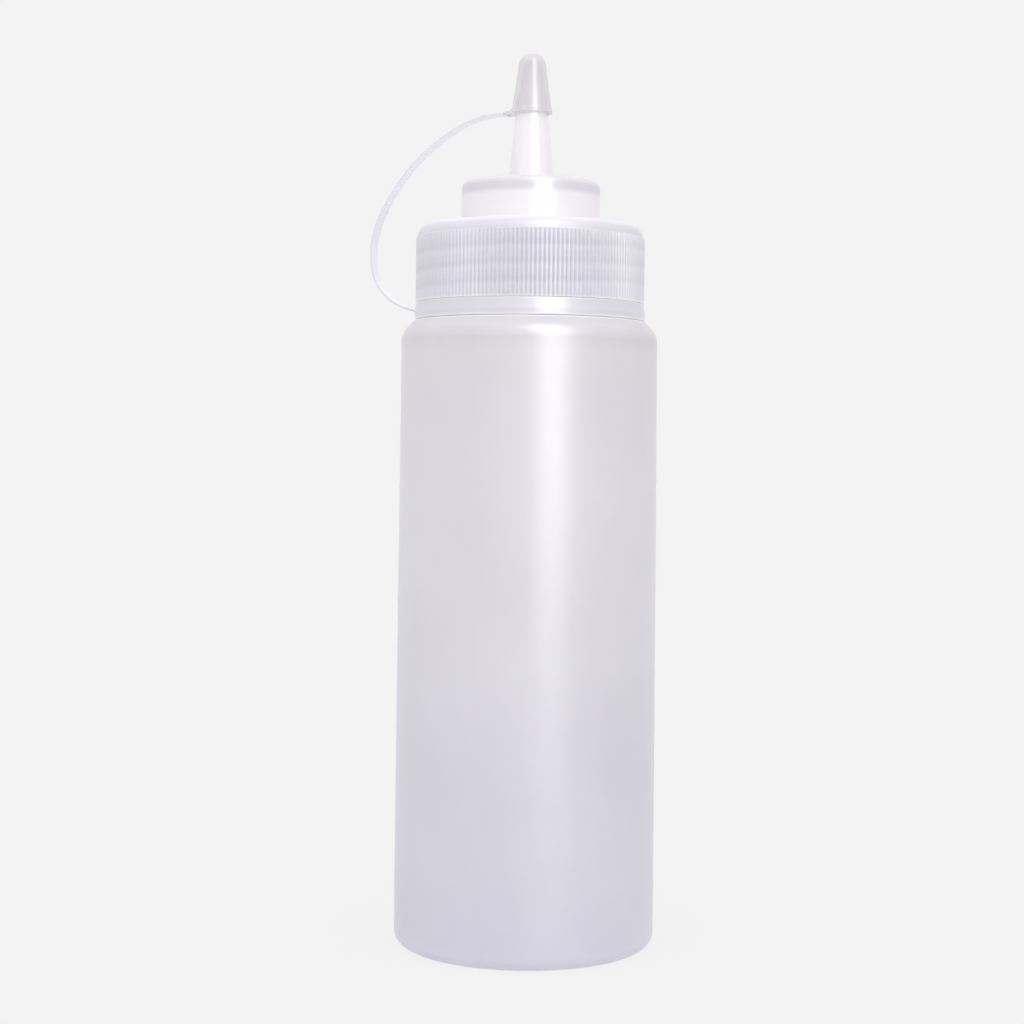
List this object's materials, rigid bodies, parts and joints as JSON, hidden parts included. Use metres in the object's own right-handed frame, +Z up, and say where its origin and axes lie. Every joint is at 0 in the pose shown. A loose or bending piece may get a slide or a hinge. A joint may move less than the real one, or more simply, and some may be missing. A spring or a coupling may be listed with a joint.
{
  "type": "condiment squeeze bottle",
  "caption": "Translucent plastic squeeze bottle with a ribbed screw cap, stepped boss, tapering pouring nozzle and a tip cover tethered by a flat strap.",
  "frame": {"origin": "centre of the base, on the bottle's axis, in the plane it stands on", "axes": "+Z up along the bottle's axis, from the base to the nozzle; -Y faces the viewer; the tether arcs out on the -X side, 25 degrees towards +Y"},
  "size_m": [0.072, 0.0634, 0.2165],
  "materials": {
    "bottle_plastic": "satin",
    "cap_plastic": "satin",
    "gasket_foam": "matte",
    "ring_plastic": "satin",
    "strap_plastic": "satin",
    "cover_plastic": "satin"
  },
  "bodies": {
    "bottle": {"bottle_body": "bottle_plastic"},
    "seal": {"sealing_gasket": "gasket_foam"},
    "cap": {"screw_cap": "cap_plastic"},
    "tether": {"tether_ring": "ring_plastic", "tether_strap": "strap_plastic"},
    "cover": {"tip_cover": "cover_plastic"}
  },
  "joints": [
    {"name": "cap_lift", "type": "slide", "parent": "bottle", "child": "seal", "axis": [0, 0, 1], "range_m": [0, 0.02115]},
    {"name": "cap_turn", "type": "hinge", "parent": "seal", "child": "cap", "pos_m": [0, 0, 0.165], "axis": [0, 0, 1], "range_deg": [0, 1801]},
    {"name": "tether_swivel", "type": "hinge", "parent": "cap", "child": "tether", "pos_m": [0, 0, 0.1546], "axis": [0, 0, 1], "continuous": true},
    {"name": "cover_pull", "type": "slide", "parent": "tether", "child": "cover", "axis": [0, 0, 1], "range_m": [0, 0.02], "deforming": ["tether_strap"]}
  ],
  "couplings": [
    {"joint": "cap_turn", "follows": "cap_lift", "rad_per_m": 1485.4}
  ]
}
